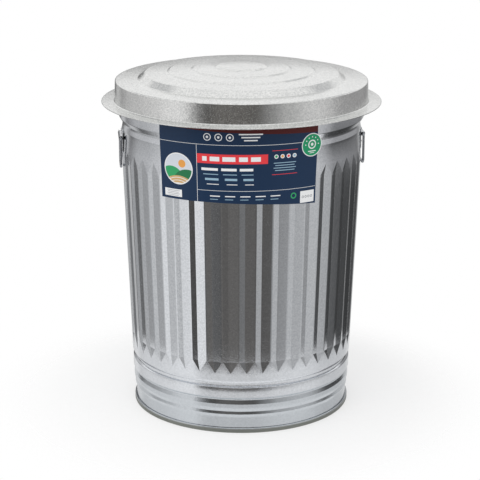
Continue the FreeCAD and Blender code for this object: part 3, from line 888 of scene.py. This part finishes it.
def lay_card(bm, off):
    """Draws the lower rows to the arched edge and lets the card sag between the ridges."""
    low, join_z = LABEL_FOOT[-1][1], BARREL_TOP[1]
    for v in bm.verts:
        angle, z = label_angle(v.co), v.co.z / MM
        r = math.hypot(v.co.x, v.co.y) / MM
        if z < join_z:
            z = join_z - (join_z - z) / (join_z - low) * (join_z - foot_height(angle))
            r = wall_r(z) + off
        wave = math.cos(math.radians(FLUTES * (angle + LABEL_TURN - FIRST_RIDGE)))
        share = min(1.0, max(0.0, (BAND_FOOT - SAG_FADE[0] - z) / SAG_FADE[1]))
        sag = CARD_SAG * (1 - wave) * share
        v.co = at(angle + LABEL_TURN, r - sag, z)


def unroll(bm, place):
    """A UV map in metres of card: place gives a point's two distances in millimetres."""
    layer = bm.loops.layers.uv.new("card")
    for face in bm.faces:
        for loop in face.loops:
            across, up = place(loop.vert.co)
            loop[layer].uv = (across * MM, up * MM)


def make_label(material):
    off = LABEL_GAP + LABEL_T / 2
    sweep = LABEL_SIDES[1] - LABEL_SIDES[0]
    bm = spin_line(card_line(LABEL_FOOT[-1][1], off), LABEL_TURN + LABEL_SIDES[0], sweep,
                   LABEL_STEPS)
    lay_card(bm, off)
    bm.normal_update()
    thicken(bm, -LABEL_T / 2, LABEL_T / 2)
    mark_creases(bm)
    unroll(bm, lambda co: (math.radians(label_angle(co)) * PRINT_R, co.z / MM - PRINT_FOOT))
    return finish_piece(bm, "card_label", "can", material, "label_wrap")


print("card from", LABEL_SIDES, "top", LABEL_TOP)

# %% [markdown]
# ## Printing
#
# The print is drawn by masks, so it stays sharp at any size. One group gives a box, which may
# lean to one side, and another gives a ring, which is a disc when it is wide enough to close.
# Both measure in millimetres of card. Each mask lays its colour over what is already printed.

# %% Print groups
EDGE = 0.25                  # softness of a printed edge in millimetres


def edge_mask(group, distance):
    """1 inside and 0 outside, from a distance that is negative inside."""
    return math_node(group, "SUBTRACT", 0.5, math_node(group, "DIVIDE", distance, EDGE), clamp=True)


def from_middle(group, start):
    """The place of a shape's middle, and the way from there to the point being printed."""
    middle = group.nodes.new("ShaderNodeCombineXYZ")
    join(group, (start.outputs["Across"], middle.inputs["X"]),
         (start.outputs["Up"], middle.inputs["Y"]))
    flat = vector_node(group, "MULTIPLY", start.outputs["Vector"], (1, 1, 0))
    return vector_node(group, "SUBTRACT", flat.outputs[0], middle.outputs[0]).outputs[0]


def box_group():
    sizes = (("Across", 0.0), ("Up", 0.0), ("Width", 10.0), ("Height", 10.0), ("Lean", 0.0))
    group, start, end = new_group("print_box", sizes, ("Mask",))
    parts = group.nodes.new("ShaderNodeSeparateXYZ")
    join(group, (from_middle(group, start), parts.inputs[0]))
    fall = math_node(group, "MULTIPLY", parts.outputs["X"], start.outputs["Lean"])
    ways = (parts.outputs["X"], math_node(group, "SUBTRACT", parts.outputs["Y"], fall))
    sides = [math_node(group, "SUBTRACT", math_node(group, "ABSOLUTE", way),
                       math_node(group, "MULTIPLY", start.outputs[size], 0.5))
             for way, size in zip(ways, ("Width", "Height"))]
    join(group, (edge_mask(group, math_node(group, "MAXIMUM", *sides)), end.inputs["Mask"]))
    return group


def ring_group():
    sizes = (("Across", 0.0), ("Up", 0.0), ("Radius", 5.0), ("Width", 1.0))
    group, start, end = new_group("print_ring", sizes, ("Mask",))
    away = vector_node(group, "LENGTH", from_middle(group, start)).outputs["Value"]
    off_radius = math_node(group, "SUBTRACT", away, start.outputs["Radius"])
    outside = math_node(group, "SUBTRACT", math_node(group, "ABSOLUTE", off_radius),
                        math_node(group, "MULTIPLY", start.outputs["Width"], 0.5))
    join(group, (edge_mask(group, outside), end.inputs["Mask"]))
    return group


box_print, ring_print = box_group(), ring_group()
print("groups", box_print.name, ring_print.name)

# %% Laying ink on card
PRINT_SPECULAR = 0.25        # ink on card shines less than plastic
FIBRE = (1.4, 3.0)           # the noise of the card's fibres: scale for each millimetre, detail
FIBRE_BUMP = (0.15, 0.0002)  # its strength and height
FIBRE_TONE = (0.9, 1.1)      # how much the ground's colour varies with it


class Ink:
    """A print in the making: the shader's tree, the place on the card and the colour so far."""

    def __init__(self, name, ground, rough):
        self.material, self.tree = new_material(name)
        self.shader = self.tree.nodes["Principled BSDF"]
        self.shader.inputs["Specular IOR Level"].default_value = PRINT_SPECULAR
        card = self.tree.nodes.new("ShaderNodeUVMap")
        card.uv_map = "card"
        self.place = vector_node(self.tree, "SCALE", card.outputs["UV"], scale=1 / MM).outputs[0]
        fibre = noise(self.tree, self.place, *FIBRE).outputs["Fac"]
        join(self.tree, (bump(self.tree, fibre, *FIBRE_BUMP), self.shader.inputs["Normal"]),
             (remap(self.tree, fibre, (0, 1), rough), self.shader.inputs["Roughness"]))
        tones = (tuple(part * share for part in ground) for share in FIBRE_TONE)
        self.colour = mix(self.tree, fibre, *tones)

    def shape(self, group, values):
        node = self.tree.nodes.new("ShaderNodeGroup")
        node.node_tree = group
        feed(self.tree, node.inputs, (self.place, *values))
        return node.outputs["Mask"]

    def box(self, across, up, width, height, lean=0.0):
        return self.shape(box_print, (across, up, width, height, lean))

    def ring(self, across, up, radius, width):
        return self.shape(ring_print, (across, up, radius, width))

    def disc(self, across, up, radius):
        return self.ring(across, up, 0.0, 2 * radius)

    def within(self, mask, other):
        return math_node(self.tree, "MULTIPLY", mask, other)

    def lay(self, colour, *masks):
        for mask in masks:
            self.colour = mix(self.tree, mask, self.colour, colour)

    def dry(self):
        self.tree.links.new(self.colour, self.shader.inputs["Base Color"])
        return self.material


print("ink ready")

# %% [markdown]
# A can is sold with a bright card round it. This print is a plain design of its own: a navy
# ground, a red band with bars, a landscape in a round frame, and rows of stripes and dots in
# place of words. Small shapes in white and pale blue give it the grain of real print.

# %% Label print
NAVY, RED, DEEP_RED = (0.007, 0.029, 0.078), (0.80, 0.045, 0.055), (0.085, 0.008, 0.008)
WHITE, PALE_BLUE, GREY = (0.84, 0.85, 0.86), (0.30, 0.46, 0.58), (0.30, 0.31, 0.33)
GREEN, DARK_GREEN = (0.03, 0.36, 0.13), (0.02, 0.18, 0.07)
ORANGE, TAN, SKY = (0.80, 0.36, 0.08), (0.62, 0.40, 0.18), (0.66, 0.70, 0.76)


def landscape(ink, x, y):
    """A round frame with a sun, hills and furrows."""
    frame_disc = ink.disc(x, y, 30.0)
    ink.lay(SKY, frame_disc)
    ink.lay(ORANGE, ink.disc(x + 9.0, y + 11.0, 8.0))
    for dx, dy, r, colour in ((-16, -26, 30, GREEN), (20, -34, 34, DARK_GREEN), (0, -62, 48, TAN)):
        ink.lay(colour, ink.within(frame_disc, ink.disc(x + dx, y + dy, r)))
    for step in range(3):
        ink.lay(WHITE, ink.within(frame_disc, ink.ring(x, y - 62.0, 44.0 - 5.5 * step, 1.2)))
    ink.lay(WHITE, ink.ring(x, y, 31.0, 2.2))


def label_print():
    ink = Ink("label_print", NAVY, (0.38, 0.50))
    ink.lay(DEEP_RED, ink.box(-15.0, 148.75, 400, 16.0, -0.043))
    ink.lay(WHITE, ink.box(0, 116.0, 400, 0.8), ink.box(-88.0, 50, 0.8, 131.0),
            ink.box(34, 24.0, 243.2, 0.7))
    landscape(ink, -129.0, 62.0)
    ink.lay(RED, ink.box(-18.0, 88.0, 139.0, 19.0))
    bars = ((-72, 9), (-52, 19), (-24, 25), (4, 17), (28, 19))
    ink.lay(WHITE, *[ink.box(x, 88.0, width, 9.0) for x, width in bars])
    for x in (-66.0, -44.0, -22.0):
        ink.lay(WHITE, ink.ring(x, 131.5, 6.6, 1.6), ink.disc(x, 131.5, 2.4))
    ink.lay(WHITE, *[ink.box(18.0, 138.0 - 6 * i, 46.0 - 10 * i, 2.4) for i in range(3)])
    stripes = ((WHITE, 5.2), (PALE_BLUE, 1.6), (PALE_BLUE, 4.4), (WHITE, 1.4))
    for row, (colour, thick) in enumerate(stripes):
        for x, width in ((-62, 33), (-24, 30), (10, 26)):
            ink.lay(colour, ink.box(x + 2 * row, 67.0 - 10.0 * row, width - 3 * row, thick))
    ink.lay(RED, ink.box(86.0, 56.0, 52.0, 1.0), ink.box(86.0, 104.0, 52.0, 1.0))
    for i in range(4):
        ink.lay(WHITE, ink.disc(68.0 + 12.5 * i, 92.0, 4.2))
        ink.lay((GREEN, ORANGE, RED, PALE_BLUE)[i], ink.disc(68.0 + 12.5 * i, 92.0, 2.6))
        ink.lay(PALE_BLUE, ink.box(86.0, 79.0 - 5.0 * i, 46.0 - 6 * (i % 2), 1.5))
    ink.lay(WHITE, *[ink.box(-52.0 + 30 * i, 13.0, 20.0, 2.0) for i in range(5)])
    ink.lay(PALE_BLUE, *[ink.box(-54.0 + 30 * i, 6.5, 16.0, 1.3) for i in range(5)])
    ink.lay(GREEN, ink.ring(106.0, 10.0, 5.0, 2.4))
    ink.lay(WHITE, ink.box(137.0, 5.0, 32.0, 24.0), ink.box(-142.0, 12.0, 40.0, 15.0))
    for i in range(4):
        ink.lay(GREY, ink.box(-142.0, 16.5 - 3.2 * i, 30.0 - 5 * (i % 2), 1.0),
                ink.ring(127.0 + 6.5 * i, 5.0, 2.0, 1.2))
    return ink.dry()


make_label(label_print())

# %% [markdown]
# A round sticker sits over the card's upper right corner. It is cut out of the same bent line,
# a hair further out, by a fan of planes round its middle.

# %% Round sticker
STICKER_ANGLE = LABEL_TURN + 33.2
STICKER_Z = RIM_TOP - 89.6
STICKER_R, STICKER_T = 23.4, 0.3
STICKER_SWEEP, STICKER_STEPS, STICKER_CUTS = 14.0, 28, 48
STICKER_GREEN = (0.012, 0.30, 0.13)


def sticker_print():
    ink = Ink("sticker_print", STICKER_GREEN, (0.25, 0.35))
    ink.lay(WHITE, ink.ring(0, 0, 22.8, 2.2), ink.ring(0, 1.0, 8.0, 2.4), ink.disc(0, 1.0, 3.0))
    ink.lay(WHITE, *[ink.disc(15.0 * math.sin(a), 1.0 + 15.0 * math.cos(a), 1.3)
                     for a in (math.radians(30 * step) for step in range(-3, 4))])
    ink.lay(WHITE, ink.box(0, -12.5, 18.0, 1.8), ink.box(0, -16.0, 11.0, 1.2))
    return ink.dry()


def make_sticker(material):
    off = LABEL_GAP + LABEL_T + 0.05 + STICKER_T / 2
    bm = spin_line(card_line(STICKER_Z - 30.0, off), STICKER_ANGLE - STICKER_SWEEP / 2,
                   STICKER_SWEEP, STICKER_STEPS)
    a = math.radians(STICKER_ANGLE)
    across = Vector((math.cos(a), math.sin(a), 0))
    middle = at(STICKER_ANGLE, RIM_BAND_R, STICKER_Z)
    for step in range(STICKER_CUTS):
        turn = math.tau * step / STICKER_CUTS
        normal = across * math.cos(turn) + Vector((0, 0, math.sin(turn)))
        cut_off(bm, middle + normal * STICKER_R * MM, normal)
    bm.normal_update()
    thicken(bm, -STICKER_T / 2, STICKER_T / 2)
    mark_creases(bm)
    unroll(bm, lambda co: ((co - middle).dot(across) / MM, co.z / MM - STICKER_Z))
    return finish_piece(bm, "green_sticker", "can", material, "round_sticker")


make_sticker(sticker_print())

# %% [markdown]
# The rim is rolled round a wire, which keeps the mouth round. The roll hides it from every side,
# so its solid from the frame is good enough and only gets the wire's metal.

# %% Wire in the rim
for slot in bpy.data.objects["rim_wire"].material_slots:
    slot.material = wire_metal
print("rim wire keeps its solid and gets", wire_metal.name)

# %% [markdown]
# ## The studio
#
# Bare metal shows what stands round it, so the light is mostly a matter of cards. A pale floor
# fades into a white world, a little sooner for the camera than in a reflection. A tall ring of
# card, which only reflections can see, has a dark and slightly warm panel in front and light
# panels at the sides: they draw the light and dark stripes of the flutes. Sheets that are laid
# over the ring make it paler higher up and white behind the can and above it, for the neck and
# the lid. A soft lamp overhead gives the label and the floor their light.

# %% Floor
FLOOR_R = 0.62
FLOOR_DROP = 0.0004          # keeps it clear of the can's foot
PAPER = (0.94, 0.94, 0.94, 1)
PAPER_GLOW = 0.55            # the share of plain white that the eye and a mirror see in it
SEEN_FADE = (0.34, 0.58)     # where the floor fades into white for the camera
MIRROR_FADE = (0.52, 0.56)   # and where it ends in a reflection, which is crisper
MIRROR_LOSS = 0.25           # what a reflection of it loses everywhere


def stage_object(name, bm, material):
    thing = make_object(bm, name, material)
    return thing


def plain_rays(tree):
    """1 for the rays that should see a white studio: straight from the camera or off a mirror."""
    path = tree.nodes.new("ShaderNodeLightPath")
    seen = math_node(tree, "ADD", path.outputs["Is Camera Ray"], path.outputs["Is Glossy Ray"],
                     clamp=True)
    return math_node(tree, "ADD", seen, path.outputs["Is Transmission Ray"], clamp=True)


def glow_material(name):
    """A material whose plastic is taken out, with an Emission in its place."""
    material, tree = new_material(name)
    tree.nodes.remove(tree.nodes["Principled BSDF"])
    return material, tree, tree.nodes.new("ShaderNodeEmission")


def floor_material():
    material, tree, glow = glow_material("pale_floor")
    paper = tree.nodes.new("ShaderNodeBsdfDiffuse")
    paper.inputs["Color"].default_value = PAPER
    clear = tree.nodes.new("ShaderNodeBsdfTransparent")
    lift, fade = tree.nodes.new("ShaderNodeMixShader"), tree.nodes.new("ShaderNodeMixShader")
    place, path = tree.nodes.new("ShaderNodeTexCoord"), tree.nodes.new("ShaderNodeLightPath")
    away = vector_node(tree, "LENGTH", place.outputs["Object"]).outputs["Value"]
    mirrored = path.outputs["Is Glossy Ray"]
    limits = [remap(tree, mirrored, (0, 1), pair) for pair in zip(SEEN_FADE, MIRROR_FADE)]
    loss = remap(tree, mirrored, (0, 1), (0, MIRROR_LOSS))
    feed(tree, lift.inputs, (math_node(tree, "MULTIPLY", plain_rays(tree), PAPER_GLOW),
                             paper.outputs[0], glow.outputs[0]))
    feed(tree, fade.inputs, (remap(tree, away, limits, (loss, 1), "SMOOTHSTEP"),
                             lift.outputs[0], clear.outputs[0]))
    join(tree, (fade.outputs[0], tree.nodes["Material Output"].inputs["Surface"]))
    return material


def make_floor():
    bm = bmesh.new()
    bmesh.ops.create_circle(bm, cap_ends=True, radius=FLOOR_R, segments=96,
                            matrix=Matrix.Translation((0, 0, -FLOOR_DROP)))
    stage_object("floor", bm, floor_material())


make_floor()
print("floor radius", FLOOR_R)

# %% Ring of cards
CARD_R = 1.6
CARD_Z = (-1.0, 2.4)
# what lies over the ring's panels: a colour, how strong it is, and where it sets in along axes
OVERLAYS = (
    ((0.86, 0.85, 0.86), 0.4, {"Z": (0.05, 0.35), "X": (0.9, 1.3)}),     # paler sides higher up
    ((1.0, 1.0, 1.0), 1.0, {"Z": (0.82, 0.98), "Y": (-0.9, 0.1)}),       # a white sheet behind
    ((1.0, 1.0, 1.0), 1.0, {"Z": (0.98, 1.10)}),                         # white all round above
    ((0.30, 0.31, 0.33), 0.5, {"Z": (1.45, 1.6), "X": (0.55, 0.85)}))    # its dark upper corners
WARM = (-36, 12)             # the front panel is brown card, between these angles
WARM_TINT = (1.05, 1.0, 0.95)
# brightness of the ring at angles from -Y towards +X
PANELS = ((-180, 0.5), (-168, 0.14), (-156, 0.16), (-148, 0.6), (-141, 0.6), (-133, 0.1),
          (-126, 0.2), (-117, 0.42), (-100, 0.46), (-85, 0.62), (-77, 0.68), (-70, 0.88),
          (-60, 0.92), (-52.5, 1.0), (-47, 0.42), (-42, 0.16), (-33, 0.07), (-24, 0.16),
          (-5, 0.135), (9, 0.1), (14, 0.24), (22, 0.3), (29, 0.5), (40, 0.52), (50, 0.6), (62, 0.6),
          (71, 0.5), (79, 0.3), (86, 0.1), (120, 0.05), (134, 0.07), (146, 0.5))


def card_material():
    material, tree, glow = glow_material("studio_cards")
    place, parts = tree.nodes.new("ShaderNodeTexCoord"), tree.nodes.new("ShaderNodeSeparateXYZ")
    ramp = tree.nodes.new("ShaderNodeValToRGB")
    while len(ramp.color_ramp.elements) < len(PANELS):
        ramp.color_ramp.elements.new(0.5)
    for element, (angle, level) in zip(ramp.color_ramp.elements, PANELS):
        tint = WARM_TINT if WARM[0] < angle < WARM[1] else (1.0, 1.0, 1.0)
        element.position = (angle + 180) / 360
        element.color = (*(level * part for part in tint), 1)
    join(tree, (place.outputs["Object"], parts.inputs[0]))
    backwards = math_node(tree, "MULTIPLY", parts.outputs["Y"], -1.0)
    turn = math_node(tree, "ARCTAN2", parts.outputs["X"], backwards)
    share = math_node(tree, "ADD", math_node(tree, "DIVIDE", turn, math.tau), 0.5)
    join(tree, (share, ramp.inputs["Fac"]))
    colour = ramp.outputs["Color"]
    for over, strength, limits in OVERLAYS:
        mask = strength
        for axis, limit in limits.items():
            along = parts.outputs[axis]
            if axis == "X":
                along = math_node(tree, "ABSOLUTE", along)
            sets_in = remap(tree, along, limit, (0, 1), "SMOOTHSTEP")
            mask = math_node(tree, "MULTIPLY", sets_in, mask)
        colour = mix(tree, mask, colour, over)
    join(tree, (colour, glow.inputs["Color"]),
         (glow.outputs[0], tree.nodes["Material Output"].inputs["Surface"]))
    return material


def make_cards():
    bm = bmesh.new()
    bmesh.ops.create_circle(bm, radius=CARD_R, segments=144,
                            matrix=Matrix.Translation((0, 0, CARD_Z[0])))
    verts, _ = end_of(bmesh.ops.extrude_edge_only(bm, edges=bm.edges[:])["geom"])
    bmesh.ops.translate(bm, verts=verts, vec=(0, 0, CARD_Z[1] - CARD_Z[0]))
    ring = stage_object("studio_cards", bm, card_material())
    ring.visible_camera = ring.visible_diffuse = False
    ring.visible_shadow = ring.visible_transmission = False


make_cards()
print("cards", len(PANELS), "levels round", CARD_R, "m")

# %% World and lamp
WORLD_LEVEL = 0.82
LAMP_SIZE, LAMP_POWER = 1.8, 18.0
LAMP_PLACE, LAMP_TILT = (-0.5, -0.9, 2.3), 22.0


def make_world():
    world = bpy.data.worlds.new("white_studio")
    world.use_nodes = True
    tree = world.node_tree
    sky = tree.nodes["Background"]
    sky.inputs["Color"].default_value = (1, 1, 1, 1)
    level = remap(tree, plain_rays(tree), (0, 1), (WORLD_LEVEL, 1.0))
    join(tree, (level, sky.inputs["Strength"]))
    bpy.context.scene.world = world


def make_lamp():
    light = bpy.data.lights.new("overhead_softbox", "AREA")
    light.shape, light.size, light.energy = "DISK", LAMP_SIZE, LAMP_POWER
    lamp = bpy.data.objects.new("overhead_softbox", light)
    bpy.context.scene.collection.objects.link(lamp)
    tilt = Matrix.Rotation(math.radians(LAMP_TILT), 4, "X")
    lamp.matrix_world = Matrix.Translation(LAMP_PLACE) @ tilt
    lamp.visible_glossy = False


make_world()
make_lamp()
bpy.context.scene.view_settings.view_transform = "Standard"
print("lamp", LAMP_POWER, "W, world", WORLD_LEVEL)
